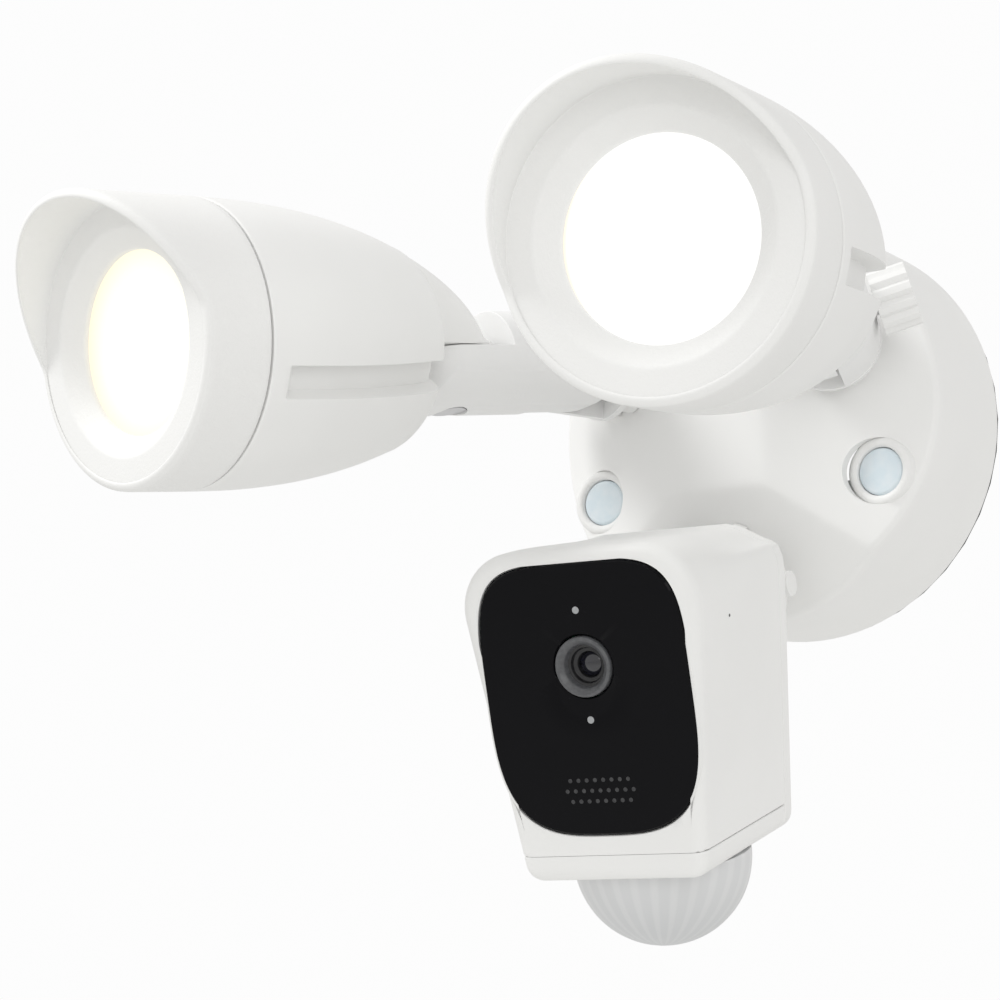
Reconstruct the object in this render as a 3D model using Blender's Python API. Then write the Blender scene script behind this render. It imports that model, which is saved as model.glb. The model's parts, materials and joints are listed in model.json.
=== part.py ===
"""Twin-lamp floodlight with a security camera, as an assembly of separate solids.

Metres, +Z up, the wall behind the plane Y = 0, the front towards -Y. The origin is the
centre of the round canopy's back, on the wall. Each moving piece hangs from an empty
that lies on its joint's axis; the object rests in its everyday aiming pose.
"""

import math

import bmesh
import bpy
from mathutils import Matrix, Vector

# Driving dimensions
GAP = 0.0003
CANOPY_R = 0.060
CANOPY_FRONT = 0.0589
CANOPY_WALL = 0.003
MID_HALF_WIDTH = 0.0147
MID_HALF_HEIGHT = 0.0231
SIDE_TILT = math.radians(21.3)
LOWER_TILT = math.radians(29.5)
GASKET = 0.0018
SCREW_X, SCREW_Z = 0.0443, -0.0208

NECK_R = 0.0095
RING_R, RING_THICK = 0.0112, 0.0046
TUBE_R = 0.0145
ELBOW = Vector((0.0415, -0.0742, 0.0152))
ARM_LENGTH = 0.0410
HALF_LAP_RISE = 0.0020

LAMP_LENGTH = 0.100
LAMP_RISE = 0.0034
LENS_R = 0.0235
BEZEL_R = 0.0376
SEAM_Y = 0.0142
TAPER_Y = 0.0160
REAR_Y = 0.0812

UNIT_YAW, UNIT_PITCH = math.radians(4.0), math.radians(16.5)
KNUCKLE = Vector((0.0, -0.0641, -0.0522))
KNUCKLE_R = 0.0115
UNIT_AXIS = Vector((0.0023, 0.0740, 0.0073))  # the knuckle's centre, in the camera unit's frame
LUG_WIDTH = 0.0190
UNIT_DEPTH = 0.057
UNIT_TOP, UNIT_BOTTOM, CAP_LINE = 0.0300, -0.0555, -0.0485
DOME_R, DOME_Y = 0.0235, 0.029

# Rest pose of each side: swivel, elbow and pan, in degrees
REST = {"left": (2.7, 7.9, 5.8), "right": (16.9, 3.8, -14.3)}

WHITE = (0.83, 0.83, 0.81, 1.0)
FINISHES = {
    "white": (WHITE, 0.45, 0.0),
    "white_trim": ((0.80, 0.80, 0.78, 1.0), 0.4, 0.0),
    "steel": ((0.62, 0.62, 0.63, 1.0), 0.35, 1.0),
    "aluminium": ((0.75, 0.75, 0.76, 1.0), 0.4, 1.0),
    "black_gloss": ((0.006, 0.006, 0.008, 1.0), 0.06, 0.0),
    "black": ((0.02, 0.02, 0.02, 1.0), 0.4, 0.0),
    "rubber": ((0.05, 0.05, 0.05, 1.0), 0.7, 0.0),
    "frosted": ((0.95, 0.93, 0.86, 1.0), 0.3, 0.0),
    "dome": ((0.86, 0.87, 0.87, 1.0), 0.3, 0.0),
    "plug": ((0.66, 0.75, 0.80, 1.0), 0.35, 0.0),
    "board": ((0.03, 0.22, 0.10, 1.0), 0.5, 0.0),
    "lens": ((0.01, 0.01, 0.02, 1.0), 0.03, 0.0),
}


def clear_scene():
    for obj in list(bpy.data.objects):
        bpy.data.objects.remove(obj, do_unlink=True)


def material(finish):
    found = bpy.data.materials.get(finish)
    if found:
        return found
    colour, roughness, metallic = FINISHES[finish]
    made = bpy.data.materials.new(finish)
    made.use_nodes = True
    shader = made.node_tree.nodes["Principled BSDF"]
    shader.inputs["Base Color"].default_value = colour
    shader.inputs["Roughness"].default_value = roughness
    shader.inputs["Metallic"].default_value = metallic
    return made


def empty(name, parent=None, place=Matrix.Identity(4)):
    obj = bpy.data.objects.new(name, None)
    bpy.context.scene.collection.objects.link(obj)
    obj.parent = parent
    obj.matrix_local = place
    return obj


def solid(name, mesh_maker, finish, parent=None, place=Matrix.Identity(4)):
    """An object from a bmesh. The mesh is placed in its parent's frame, so its origin is the joint's."""
    mesh = bpy.data.meshes.new(name)
    mesh_maker.transform(place)
    bmesh.ops.recalc_face_normals(mesh_maker, faces=mesh_maker.faces)
    mesh_maker.to_mesh(mesh)
    mesh_maker.free()
    obj = bpy.data.objects.new(name, mesh)
    bpy.context.scene.collection.objects.link(obj)
    obj.parent = parent
    mesh.materials.append(material(finish))
    mesh.shade_smooth()
    mesh.set_sharp_from_angle(angle=math.radians(30))
    return obj


def boolean(target, mesh_maker, operation="DIFFERENCE", place=Matrix.Identity(4)):
    """Adds a Boolean whose tool is hidden and shares the target's frame."""
    tool = solid(f"{target.name}_tool_{len(target.modifiers)}", mesh_maker, "black", target.parent, place)
    tool.hide_render = True
    tool.display_type = "WIRE"
    step = target.modifiers.new(f"{operation.lower()}_{len(target.modifiers)}", "BOOLEAN")
    step.operation = operation
    step.object = tool
    return tool


def lathe(profile, segments=32):
    """Turns (radius, height) points about +Z. Ends at radius 0 close on the axis, or else the loop closes."""
    made = bmesh.new()
    rings = []
    for radius, height in profile:
        if radius == 0:
            rings.append([made.verts.new((0, 0, height))])
        else:
            angles = (math.tau * i / segments for i in range(segments))
            rings.append([made.verts.new((radius * math.cos(a), radius * math.sin(a), height)) for a in angles])
    closed = len(rings[0]) > 1
    pairs = zip(rings, rings[1:] + rings[:1] if closed else rings[1:])
    for low, high in pairs:
        for i in range(segments):
            j = (i + 1) % segments
            corners = [low[i % len(low)], low[j % len(low)], high[j % len(high)], high[i % len(high)]]
            made.faces.new(list(dict.fromkeys(corners)))
    return made


def prism(outline, low, high):
    """Extrudes an outline of (x, y) points from z = low to z = high."""
    made = bmesh.new()
    face = made.faces.new([made.verts.new((x, y, low)) for x, y in outline])
    lifted = bmesh.ops.extrude_face_region(made, geom=[face])["geom"]
    corners = [part for part in lifted if isinstance(part, bmesh.types.BMVert)]
    bmesh.ops.translate(made, verts=corners, vec=(0, 0, high - low))
    return made


def box(low, high):
    corners = ((low[0], low[1]), (high[0], low[1]), (high[0], high[1]), (low[0], high[1]))
    return prism(corners, low[2], high[2])


def arc(centre, radius, start, end, steps):
    """Points on a circle from one angle to another, both in degrees and both included."""
    angles = (math.radians(start + (end - start) * i / steps) for i in range(steps + 1))
    return [(centre[0] + radius * math.cos(a), centre[1] + radius * math.sin(a)) for a in angles]


def rounded(corners, radii, steps=5):
    """A polygon, anticlockwise, with each corner rounded by its own radius."""
    points = []
    count = len(corners)
    for i, radius in enumerate(radii):
        here = Vector(corners[i])
        before = (Vector(corners[i - 1]) - here).normalized()
        after = (Vector(corners[(i + 1) % count]) - here).normalized()
        half = before.angle(after) / 2
        middle = here + (before + after).normalized() * radius / math.sin(half)
        start = here + before * radius / math.tan(half) - middle
        sweep = math.pi - 2 * half
        first = math.atan2(start.y, start.x)
        for k in range(steps + 1):
            a = first + sweep * k / steps
            points.append((middle.x + radius * math.cos(a), middle.y + radius * math.sin(a)))
    return points


def merged(*makers):
    """One bmesh that holds several loose shells, for a tool that cuts in several places."""
    whole = bmesh.new()
    for maker in makers:
        mesh = bpy.data.meshes.new("loose")
        maker.to_mesh(mesh)
        maker.free()
        whole.from_mesh(mesh)
        bpy.data.meshes.remove(mesh)
    return whole


def turn(axis, degrees):
    return Matrix.Rotation(math.radians(degrees), 4, axis)


def move(x, y, z):
    return Matrix.Translation((x, y, z))


ALONG_Y = turn("X", -90)  # local +Z, a lathe's axis, becomes +Y
ALONG_X = turn("Y", 90)  # local +Z becomes +X


def facet_y(x):
    """Y of the side facets at a distance x from the middle."""
    return -CANOPY_FRONT + math.tan(SIDE_TILT) * (abs(x) - MID_HALF_WIDTH)


def gem(radius, inset, back):
    """The canopy's body: a round dish whose front is cut by a flat, two side, a lower and an upper plane."""
    made = lathe([(0, 0), (radius, 0), (radius, 0.08), (0, 0.08)], 48)
    made.transform(move(0, back, 0) @ turn("X", 90))
    planes = [((0, -CANOPY_FRONT, 0), (0, -1, 0))]
    for sign in (-1, 1):
        normal = (sign * math.sin(SIDE_TILT), -math.cos(SIDE_TILT), 0)
        planes.append(((sign * MID_HALF_WIDTH, -CANOPY_FRONT, 0), normal))
        normal = (0, -math.cos(LOWER_TILT), sign * math.sin(LOWER_TILT))
        planes.append(((0, -CANOPY_FRONT, sign * MID_HALF_HEIGHT), normal))
    for point, normal in planes:
        place = Vector(point) - Vector(normal) * inset
        whole = made.verts[:] + made.edges[:] + made.faces[:]
        cut = bmesh.ops.bisect_plane(made, geom=whole, plane_co=place, plane_no=normal, clear_outer=True)
        edges = [part for part in cut["geom_cut"] if isinstance(part, bmesh.types.BMEdge)]
        bmesh.ops.contextual_create(made, geom=edges)
    return made


def lamp_heading(side):
    """The elbow's centre, with +Y running back along the stem, into the side facet."""
    return move(side * ELBOW.x, ELBOW.y, ELBOW.z) @ turn("Z", side * math.degrees(SIDE_TILT))


def camera_heading():
    """The knuckle's centre, with +Y running back along the stem, into the lower facet."""
    return move(*KNUCKLE) @ turn("X", math.degrees(LOWER_TILT))


def lamp_facet():
    """How far behind the elbow the stem meets the side facet."""
    rise = math.tan(SIDE_TILT)
    front = facet_y(ELBOW.x) - ELBOW.y
    return front / (math.cos(SIDE_TILT) + rise * math.sin(SIDE_TILT))


def camera_facet():
    """How far behind the knuckle the stem meets the lower facet."""
    rise = math.tan(LOWER_TILT)
    front = -CANOPY_FRONT - rise * (KNUCKLE.z + MID_HALF_HEIGHT) - KNUCKLE.y
    return front / (math.cos(LOWER_TILT) + rise * math.sin(LOWER_TILT))


def make_canopy(root):
    canopy = solid("canopy", gem(CANOPY_R, 0, -GASKET), "white", root)
    boolean(canopy, gem(CANOPY_R - CANOPY_WALL, CANOPY_WALL, 0.01))
    holes = []
    for sign in (-1, 1):
        boss = lathe([(0, 0.018), (0.0105, 0.018), (0.0105, 0.0445), (0, 0.0445)], 24)
        place = move(sign * SCREW_X, 0, SCREW_Z) @ turn("X", 90)
        boolean(canopy, boss, "UNION", place)
        pocket = [(0, 0.010), (0.0026, 0.010), (0.0026, 0.0380), (0.0068, 0.0380)]
        pocket += [(0.0068, 0.0450), (0.0118, 0.0550), (0, 0.0550)]
        hole = lathe(pocket, 36)
        hole.transform(place)
        holes.append(hole)
    for place in (lamp_heading(-1), lamp_heading(1), camera_heading()):
        hole = lathe([(0, 0), (NECK_R + GAP, 0), (NECK_R + GAP, 0.045), (0, 0.045)], 32)
        hole.transform(place @ ALONG_Y)
        holes.append(hole)
    for hole in holes:
        boolean(canopy, hole)


def make_base(root):
    ring = lathe([(0.0545, GAP), (0.0595, GAP), (0.0595, GASKET - GAP), (0.0545, GASKET - GAP)], 40)
    ring.transform(move(0, GAP, 0) @ turn("X", 90))
    solid("wall_gasket", ring, "rubber", root)
    make_canopy(root)
    ends = arc((SCREW_X, SCREW_Z), 0.0070, -90, 90, 8) + arc((-SCREW_X, SCREW_Z), 0.0070, 90, 270, 8)
    bar = prism(ends, 0.0025, 0.0045)
    bracket = solid("wall_bracket", bar, "steel", root, turn("X", 90))
    for sign in (-1, 1):
        at = move(sign * SCREW_X, 0, SCREW_Z) @ turn("X", 90)
        post = [(0.0026, 0.0035), (0.0045, 0.0035), (0.0045, 0.0160), (0.0026, 0.0160)]
        boolean(bracket, lathe(post, 20), "UNION", at)
        hole = lathe([(0, 0), (0.0024, 0), (0.0024, 0.010), (0, 0.010)], 16)
        boolean(bracket, hole, place=move(sign * 0.0260, 0, SCREW_Z) @ turn("X", 90))
        name = "left" if sign < 0 else "right"
        screw = [(0, 0.0060), (0.0020, 0.0060), (0.0020, 0.0383), (0.0040, 0.0383), (0.0040, 0.0403), (0, 0.0410)]
        solid(f"{name}_canopy_screw", lathe(screw, 20), "steel", root, at)
        plug = [(0, 0.0413), (0.0064, 0.0413), (0.0064, 0.0448), (0.0050, 0.0456), (0, 0.0458)]
        solid(f"{name}_screw_plug", lathe(plug, 28), "plug", root, at)
    board = solid("driver_board", box((-0.024, -0.0110, -0.006), (0.024, -0.0094, 0.032)), "board", root)
    boolean(board, box((-0.020, -0.0260, 0.004), (-0.004, -0.0105, 0.026)), "UNION")
    boolean(board, box((0.002, -0.0210, 0.006), (0.018, -0.0105, 0.020)), "UNION")
    solid("terminal_block", box((-0.012, -0.0180, -0.030), (0.012, -0.0080, -0.018)), "white_trim", root)


def castellated_ring(thick):
    """A lock ring: a turned ring with eight lugs round its rim."""
    outline = []
    for i in range(8):
        middle = 45 * i
        outline += arc((0, 0), RING_R + 0.0014, middle - 9, middle + 9, 2)
        outline += arc((0, 0), RING_R, middle + 13, middle + 32, 2)
    return prism(outline, 0, thick)


def make_lock_ring(name, root, frame, facet, thick):
    """A ring lies on the facet, facet metres behind the frame's origin, and turns about the stem."""
    joint = empty(f"{name}_joint", root, frame)
    place = move(0, facet - GAP, 0) @ turn("X", 90)
    ring = solid(name, castellated_ring(thick), "white_trim", joint, place @ turn("Z", 22))
    hole = lathe([(0, -0.001), (NECK_R + GAP, -0.001), (NECK_R + GAP, 0.008), (0, 0.008)], 32)
    boolean(ring, hole, place=place)


def half_disc_tongue(radius, reach, side, thick, low=GAP):
    """A half-lapped tongue about local X: round at the pivot, running to y = reach, on one side of x = 0."""
    outline = arc((0, 0), radius, 90, 270, 14) + [(reach, -radius), (reach, radius)]
    made = prism(outline, low, thick)
    swap = Matrix(((0, 0, side, 0), (1, 0, 0, 0), (0, 1, 0, 0), (0, 0, 0, 1)))
    made.transform(swap)
    return made


def neck(radius, clear, facet, lip):
    """Flange behind a knuckle, then the neck that runs through the lock ring and the canopy, bored for wires."""
    flange = radius + clear
    inside = facet + 0.0110
    profile = [(0, flange), (radius + 0.0003, flange), (radius + 0.0003, flange + lip - 0.0006)]
    profile += [(radius - 0.0010, flange + lip), (NECK_R, flange + lip), (NECK_R, inside), (0.0045, inside)]
    profile += [(0.0045, facet - 0.004), (0, facet - 0.004)]
    return lathe(profile, 32)


def make_nut(name, joint, facet):
    """The hexagon nut that holds a stem from inside the canopy."""
    inside = facet + CANOPY_WALL + GAP
    nut = solid(name, prism(arc((0, 0), 0.0135, 0, 300, 5), 0, 0.004), "steel", joint, move(0, inside, 0) @ ALONG_Y)
    hole = lathe([(0, -0.001), (NECK_R + GAP, -0.001), (NECK_R + GAP, 0.005), (0, 0.005)], 32)
    boolean(nut, hole, place=move(0, inside, 0) @ ALONG_Y)


def across(radius, low, high, side, segments=24):
    """A cylinder along local X between two distances on one side."""
    made = lathe([(0, low), (radius, low), (radius, high), (0, high)], segments)
    made.transform(Matrix.Diagonal((1, 1, side, 1)))
    made.transform(ALONG_X)
    return made


def make_knob(name, joint, side):
    """Ridged clamping knob with its screw, which turns about the elbow's axis."""
    outline = []
    for i in range(12):
        outline += arc((0, 0), 0.0088, 30 * i - 6, 30 * i + 6, 1)
        turn = math.radians(30 * i + 15)
        outline += [(0.0076 * math.cos(turn), 0.0076 * math.sin(turn))]
    body = prism(outline, TUBE_R + 0.0008, 0.0255)
    body.transform(Matrix.Diagonal((1, 1, side, 1)))
    body.transform(ALONG_X)
    knob = solid(name, body, "white_trim", joint)
    boolean(knob, across(0.0028, -0.0085, TUBE_R + 0.0020, side, 16), "UNION")


def make_arm(name, joint, side):
    """Tube from the elbow to the lamp: an upright half lap at the elbow, a level one at the lamp."""
    shoulder = TUBE_R + 0.0008
    wide, end = TUBE_R + 0.004, ARM_LENGTH + TUBE_R
    arm = solid(name, box((-wide, -end, -wide), (wide, -shoulder, wide)), "white", joint)
    boolean(arm, half_disc_tongue(TUBE_R, 0.030, -side, wide + 0.001), "UNION", turn("X", 180))
    whole = [(0, -0.020), (TUBE_R, -0.020), (TUBE_R, 0.060), (0, 0.060)]
    boolean(arm, lathe(whole, 32), "INTERSECT", turn("X", 90))
    outer = arc((0, -ARM_LENGTH), TUBE_R + 0.0001, 180, 360, 18)
    outer += [(wide, -ARM_LENGTH), (wide, -end - 0.01), (-wide, -end - 0.01), (-wide, -ARM_LENGTH)]
    boolean(arm, prism(outer, -0.03, 0.03))
    boolean(arm, box((-0.03, -0.08, HALF_LAP_RISE), (0.03, shoulder - ARM_LENGTH, 0.03)))
    boolean(arm, across(0.0031, -0.0005, 0.0088, -side, 16))
    screw = [(0, -0.03), (0.0052, -0.03), (0.0052, -0.0105), (0.0024, -0.0105), (0.0024, 0.02), (0, 0.02)]
    boolean(arm, lathe(screw, 20), place=move(0, -ARM_LENGTH, 0))


def bullet_profile():
    """(radius, y) of the lamp's outer skin from the seam to the rear tip."""
    steps = 10
    points = []
    for i in range(steps + 1):
        t = math.sin(0.5 * math.pi * i / steps)
        points.append((BEZEL_R * (1 - t**2.2) ** 0.7, TAPER_Y + GAP + 0.0985 * t))
    points[-1] = (0, points[-1][1])
    return points


def make_housing(name, lamp):
    """Bullet-shaped rear casing, hollow at the front, with side channels and a half-lapped rear tongue."""
    hollow = [(0, 0.060), (0.012, 0.060), (0.020, 0.040), (0.0290, 0.0250), (0.0290, SEAM_Y - 0.002)]
    housing = solid(name, lathe([(0, SEAM_Y + GAP), (BEZEL_R, SEAM_Y + GAP)] + bullet_profile(), 40), "white", lamp, ALONG_Y)
    boolean(housing, lathe(hollow + [(0, SEAM_Y - 0.002)], 28), place=ALONG_Y)
    seat = HALF_LAP_RISE + GAP - LAMP_RISE
    boolean(housing, box((-0.05, REAR_Y, -0.05), (0.05, 0.13, seat)))
    notch = arc((0, LAMP_LENGTH), TUBE_R, 0, 180, 20) + [(-TUBE_R, REAR_Y), (-0.05, REAR_Y)]
    notch += [(-0.05, 0.13), (0.05, 0.13), (0.05, REAR_Y), (TUBE_R, REAR_Y)]
    boolean(housing, prism(notch, seat - 0.003, 0.05))
    for sign in (-1, 1):
        channel = box((0, 0.0, -0.004), (0.012, 0.080, 0.004))
        lean = Matrix.Rotation(math.radians(sign * 10.4), 4, "Z")
        place = move(sign * 0.0335, 0.0215, -0.0150) @ lean @ turn("Y", 28 if sign > 0 else 152)
        boolean(housing, channel, place=place @ move(-0.0035, 0, 0))
    pivot = lathe([(0, -0.02), (0.0023, -0.02), (0.0023, 0.007), (0, 0.007)], 16)
    boolean(housing, pivot, place=move(0, LAMP_LENGTH, 0))


def make_bezel(name, lamp):
    """Front ring with the visor, one piece: a turned sleeve whose front is cut by a slanting plane."""
    profile = [(LENS_R, 0.0006), (LENS_R, 0), (0.0290, -0.0040), (0.0352, -0.0050), (0.0352, -0.0220)]
    profile += [(BEZEL_R, -0.0220), (BEZEL_R, SEAM_Y), (0.0300, SEAM_Y)]
    profile += [(0.0300, 0.0052), (0.0273, 0.0052), (0.0273, 0.0006)]
    bezel = solid(name, lathe(profile, 40), "white", lamp, ALONG_Y)
    slant = [(-0.0600, 0.06), (-0.0205, 0.0365), (-0.0038, 0.0010), (-0.0038, -0.06), (-0.0600, -0.06)]
    blade = prism(slant, -0.05, 0.05)
    blade.transform(Matrix(((0, 0, 1, 0), (1, 0, 0, 0), (0, 1, 0, 0), (0, 0, 0, 1))))
    boolean(bezel, blade)


def make_lamp(side_name, pan):
    lamp = empty(f"{side_name}_lamp_frame", pan, move(0, -LAMP_LENGTH, LAMP_RISE))
    make_housing(f"{side_name}_lamp_housing", lamp)
    make_bezel(f"{side_name}_bezel_visor", lamp)
    lens = [(0, 0.0002), (0.0150, 0.0005), (0.0230, 0.0009), (0.0270, 0.0010), (0.0270, 0.0035), (0, 0.0035)]
    solid(f"{side_name}_lamp_lens", lathe(lens, 32), "frosted", lamp, ALONG_Y)
    ring = [(0.0240, 0.0038), (0.0270, 0.0038), (0.0270, 0.0050), (0.0240, 0.0050)]
    solid(f"{side_name}_lens_gasket", lathe(ring, 36), "rubber", lamp, ALONG_Y)
    cone = [(0.0255, 0.0055), (0.0265, 0.0055), (0.0142, 0.0205), (0.0130, 0.0205)]
    solid(f"{side_name}_reflector", lathe(cone, 36), "white_trim", lamp, ALONG_Y)
    disc = lathe([(0, 0.0210), (0.0255, 0.0210), (0.0255, 0.0226), (0, 0.0226)], 36)
    board = solid(f"{side_name}_led_board", disc, "aluminium", lamp, ALONG_Y)
    boolean(board, box((-0.008, 0.0198, -0.008), (0.008, 0.0215, 0.008)), "UNION")


def make_stem(name, swivel, side, facet):
    """Lamp stem: the outer half of the elbow, a flange and the neck."""
    reach = TUBE_R + 0.0016
    stem = solid(name, half_disc_tongue(TUBE_R, reach, side, TUBE_R + 0.004), "white", swivel)
    whole = [(0, -0.03), (TUBE_R, -0.03), (TUBE_R, 0.03), (0, 0.03)]
    boolean(stem, lathe(whole, 32), "INTERSECT", ALONG_Y)
    boolean(stem, neck(TUBE_R, 0.0006, facet, 0.0026), "UNION", ALONG_Y)
    boolean(stem, across(0.0031, -0.001, 0.030, side, 16))


def make_side(side_name, root):
    side = -1 if side_name == "left" else 1
    swivel_deg, elbow_deg, pan_deg = REST[side_name]
    heading, facet = lamp_heading(side), lamp_facet()
    make_lock_ring(f"{side_name}_lock_ring", root, heading, facet, RING_THICK)
    swivel = empty(f"{side_name}_swivel", root, heading @ turn("Y", -swivel_deg))
    make_stem(f"{side_name}_stem", swivel, side, facet)
    make_nut(f"{side_name}_stem_nut", swivel, facet)
    make_knob(f"{side_name}_knob", swivel, side)
    elbow = empty(f"{side_name}_elbow", swivel, turn("X", elbow_deg))
    make_arm(f"{side_name}_arm", elbow, side)
    screw = [(0, -0.0138), (0.0049, -0.0138), (0.0049, -0.0108), (0.0020, -0.0108), (0.0020, 0.0090), (0, 0.0090)]
    solid(f"{side_name}_pan_screw", lathe(screw, 20), "steel", elbow, move(0, -ARM_LENGTH, 0))
    pan = empty(f"{side_name}_pan", elbow, move(0, -ARM_LENGTH, 0) @ turn("Z", pan_deg))
    make_lamp(side_name, pan)


def unit_outline(inset, low=UNIT_BOTTOM):
    """Front view of the camera unit, (x, z): a trapezoid that narrows downwards, with round upper corners."""
    def half(z):
        return 0.0342 + (z - 0.020) * 0.115 - inset
    top, foot = UNIT_TOP - inset, low + inset
    corners = ((-half(foot), foot), (half(foot), foot), (half(top), top), (-half(top), top))
    return rounded(corners, (0.0050, 0.0050, max(0.0150 - inset, 0.004), max(0.0150 - inset, 0.004)), 7)


def glass_outline(inset):
    """The black front panel: widest just below the lens, with large soft corners."""
    corners = ((-0.0240, -0.0433), (0.0240, -0.0433), (0.0312, -0.004))
    corners += ((0.0282, 0.0262), (-0.0282, 0.0262), (-0.0312, -0.004))
    shrunk = [(x * (1 - inset / 0.030), z - inset * math.copysign(1, z)) for x, z in corners]
    return rounded(shrunk, (0.0120, 0.0120, 0.0300, 0.0100, 0.0100, 0.0300), 6)


STAND_UP = turn("X", 90)  # an outline in (x, z) extruded towards -Y


def slab(outline, front, back):
    """Extrudes an (x, z) outline from y = front to y = back."""
    made = prism(outline, -back, -front)
    made.transform(STAND_UP)
    return made


def speaker_holes():
    """Three staggered rows of small square bores."""
    tools = []
    for row, count in enumerate((8, 9, 8)):
        for i in range(count):
            x = (i - (count - 1) / 2) * 0.00235
            z = -0.0290 - 0.0027 * row
            tools.append(slab(arc((x, z), 0.00045, 0, 270, 3), -0.002, 0.003))
    return merged(*tools)


def make_unit_front(tilt, place):
    shell = solid("front_shell", slab(unit_outline(0), 0, 0.0520), "white", tilt, place)
    boolean(shell, slab(unit_outline(0.0025), 0.0035, 0.060), place=place)
    boolean(shell, box((-0.05, -0.01, -0.07), (0.05, 0.07, CAP_LINE + GAP)), place=place)
    boolean(shell, slab(glass_outline(-GAP), -0.01, 0.0015), place=place)
    boolean(shell, slab(glass_outline(0.0030), -0.01, 0.010), place=place)
    glass = solid("front_glass", slab(glass_outline(0), -0.0003, 0.0012), "black_gloss", tilt, place)
    boolean(glass, lathe([(0, -0.01), (0.0082, -0.01), (0.0082, 0.01), (0, 0.01)], 36), place=place @ ALONG_Y)
    for z in (0.0145, -0.0136):
        dot = lathe([(0, -0.01), (0.0012, -0.01), (0.0012, 0.01), (0, 0.01)], 12)
        boolean(glass, dot, place=place @ move(0, 0, z) @ ALONG_Y)
    boolean(glass, speaker_holes(), place=place)
    cap = solid("bottom_cap", slab(unit_outline(0), 0, 0.0520), "white", tilt, place)
    boolean(cap, box((-0.05, -0.01, CAP_LINE - GAP), (0.05, 0.07, 0.05)), place=place)
    hole = lathe([(0, -0.07), (0.0203, -0.07), (0.0203, -0.04), (0, -0.04)], 36)
    boolean(cap, hole, place=place @ move(0, DOME_Y, 0))


def make_unit_inside(tilt, place):
    ring = [(0.0055, -0.0008), (0.0072, -0.0010), (0.0078, -0.0004), (0.0078, 0.0030), (0.0055, 0.0030)]
    solid("lens_ring", lathe(ring, 28), "black", tilt, place @ ALONG_Y)
    lens = [(0, 0.0002), (0.0030, 0.0005), (0.0052, 0.0012), (0.0052, 0.0085), (0, 0.0085)]
    solid("camera_lens", lathe(lens, 32), "lens", tilt, place @ ALONG_Y)
    for name, z, radius in (("light_sensor", 0.0145, 0.0009), ("status_light", -0.0136, 0.0009)):
        dot = lathe([(0, 0.0), (radius, 0.0), (radius, 0.0085), (0, 0.0085)], 12)
        solid(name, dot, "dome", tilt, place @ move(0, 0, z) @ ALONG_Y)
    solid("sensor_board", box((-0.014, 0.0088, -0.016), (0.014, 0.0104, 0.018)), "board", tilt, place)
    speaker = [(0, 0.0050), (0.0100, 0.0050), (0.0100, 0.0090), (0.0060, 0.0120), (0, 0.0120)]
    solid("speaker", lathe(speaker, 28), "black", tilt, place @ move(0, 0, -0.0317) @ ALONG_Y)
    main = solid("main_board", box((-0.022, 0.0300, -0.042), (0.022, 0.0316, 0.020)), "board", tilt, place)
    boolean(main, box((-0.010, 0.0270, -0.014), (0.010, 0.0310, 0.006)), "UNION", place)
    sensor = [(0, -0.0580), (0.0046, -0.0580), (0.0046, -0.0520), (0, -0.0520)]
    pir = solid("motion_sensor", lathe(sensor, 24), "steel", tilt, place @ move(0, DOME_Y, 0))
    boolean(pir, box((-0.008, DOME_Y - 0.008, -0.0525), (0.008, DOME_Y + 0.008, -0.0510)), "UNION", place)
    top = UNIT_BOTTOM - GAP
    bends = [math.pi / 16 * i for i in range(8)]
    hollow_r = DOME_R - 0.0015
    outer = [(DOME_R * math.cos(a), top - DOME_R * math.sin(a)) for a in bends]
    inner = [(hollow_r * math.cos(a), top - hollow_r * math.sin(a)) for a in bends]
    profile = [(0, top - DOME_R)] + outer[::-1]
    profile += [(0.0200, top), (0.0200, top + 0.005), (0.0188, top + 0.005), (0.0188, top)]
    profile += [(r, z) for r, z in inner if r < 0.0188] + [(0, top - DOME_R + 0.0015)]
    solid("motion_dome", lathe(profile, 28), "dome", tilt, place @ move(0, DOME_Y, 0))


def make_unit_back(tilt, place):
    cover = solid("back_cover", slab(unit_outline(0), 0.0523, UNIT_DEPTH), "white", tilt, place)
    lug = arc((UNIT_AXIS.y, UNIT_AXIS.z), KNUCKLE_R, -90, 90, 14)
    lug += [(0.0550, UNIT_AXIS.z + KNUCKLE_R), (0.0550, UNIT_AXIS.z - KNUCKLE_R)]
    shape = prism(lug, UNIT_AXIS.x + GAP, UNIT_AXIS.x + LUG_WIDTH)
    shape.transform(Matrix(((0, 0, 1, 0), (1, 0, 0, 0), (0, 1, 0, 0), (0, 0, 0, 1))))
    boolean(cover, shape, "UNION", place)
    boolean(cover, across(0.0028, -0.01, 0.03, 1, 16))


def make_knuckle(swivel, level, facet):
    """Camera stem, whose half lap faces the camera unit's lug, with its bolt and nut."""
    along = level @ turn("X", math.degrees(LOWER_TILT))
    tongue = half_disc_tongue(KNUCKLE_R, KNUCKLE_R + 0.0019, -1, LUG_WIDTH)
    stem = solid("camera_stem", tongue, "white", swivel, along)
    boolean(stem, neck(KNUCKLE_R, 0.0013, facet, 0.0014), "UNION", ALONG_Y)
    boolean(stem, across(0.0028, -0.01, 0.03, -1, 16), place=along)
    boolean(stem, hexagon(0.0048, 0.0150, 0.0250), place=along)
    head = across(0.0035, LUG_WIDTH + GAP, LUG_WIDTH + 0.0060, 1, 24)
    bolt = solid("tilt_bolt", head, "white_trim", swivel, along)
    boolean(bolt, across(0.0024, -0.0185, LUG_WIDTH + 0.0020, 1, 16), "UNION", along)
    nut = solid("tilt_nut", hexagon(0.0045, 0.0153, 0.0186), "steel", swivel, along)
    boolean(nut, across(0.0027, -0.01, 0.03, -1, 16), place=along)


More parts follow.
